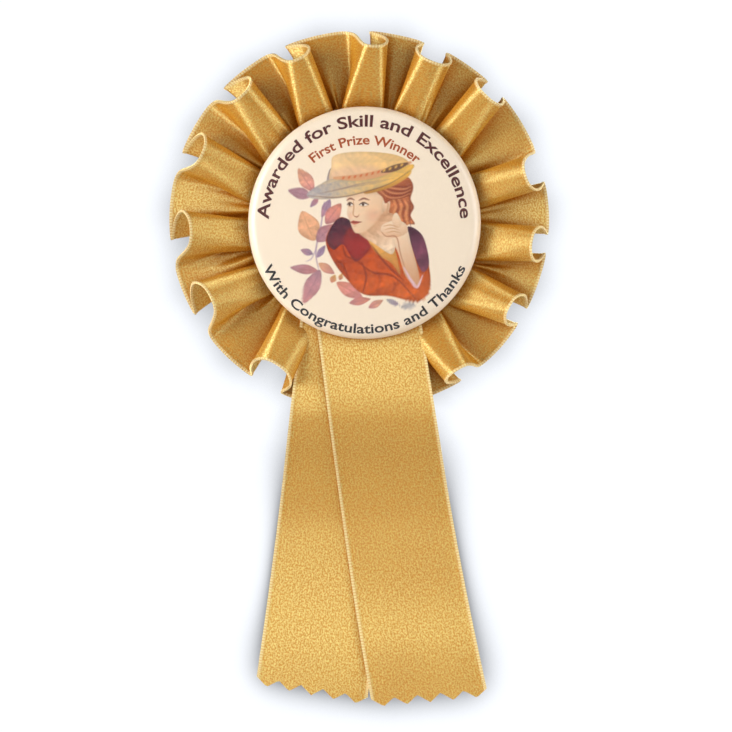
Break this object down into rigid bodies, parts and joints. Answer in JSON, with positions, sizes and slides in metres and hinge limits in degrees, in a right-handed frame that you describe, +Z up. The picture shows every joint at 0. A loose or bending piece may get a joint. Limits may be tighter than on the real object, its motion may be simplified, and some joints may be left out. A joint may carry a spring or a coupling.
{
  "type": "award ribbon",
  "caption": "Gathered satin rosette with a domed button badge, two hanging ribbon tails and a brooch pin behind.",
  "frame": {"origin": "on the brooch needle's axis, straight behind the middle of the badge", "axes": "+Z up along the badge and tails, +X to the viewer's right along the brooch needle towards its tip, +Y backwards towards the wearer"},
  "size_m": [0.09, 0.0166, 0.1621],
  "materials": {
    "satin_ribbon": "gold double-face satin ribbon",
    "clear_film": "clear glossy film",
    "printed_paper": "printed cream paper",
    "tinplate": "bright tinplate",
    "white_foam": "soft white foam",
    "cotton_thread": "gold cotton thread",
    "card": "white-faced pressed card",
    "pin_steel": "nickel-plated steel"
  },
  "bodies": {
    "rosette": {"ruffle": "satin_ribbon", "film_cover": "clear_film", "printed_insert": "printed_paper", "button_shell": "tinplate", "button_back": "tinplate", "foam_pad": "white_foam", "front_tail_head": "satin_ribbon", "rear_tail_head": "satin_ribbon", "gathering_thread": "cotton_thread", "tail_staples": "pin_steel", "mounting_card": "card", "back_cover_card": "card", "pin_bar": "pin_steel", "hinge_rivet": "pin_steel"},
    "tail_pair": {"rear_tail": "satin_ribbon", "front_tail_upper": "satin_ribbon"},
    "front_tail": {"front_tail_lower": "satin_ribbon"},
    "needle": {"pin_needle": "pin_steel"},
    "catch": {"catch_barrel": "pin_steel"}
  },
  "joints": [
    {"name": "tails_lift", "type": "hinge", "parent": "rosette", "child": "tail_pair", "pos_m": [0, -0.0094, -0.03], "axis": [-1, 0, 0], "range_deg": [0, 90]},
    {"name": "front_tail_lift", "type": "hinge", "parent": "tail_pair", "child": "front_tail", "pos_m": [0, -0.0106, -0.046], "axis": [-1, 0, 0], "range_deg": [0, 80]},
    {"name": "needle_hinge", "type": "hinge", "parent": "rosette", "child": "needle", "pos_m": [-0.015, 0, 0], "axis": [0, 0, 1], "range_deg": [0, 80]},
    {"name": "catch_roll", "type": "hinge", "parent": "rosette", "child": "catch", "pos_m": [0.014, 0, 0], "axis": [-1, 0, 0], "range_deg": [0, 90]}
  ]
}
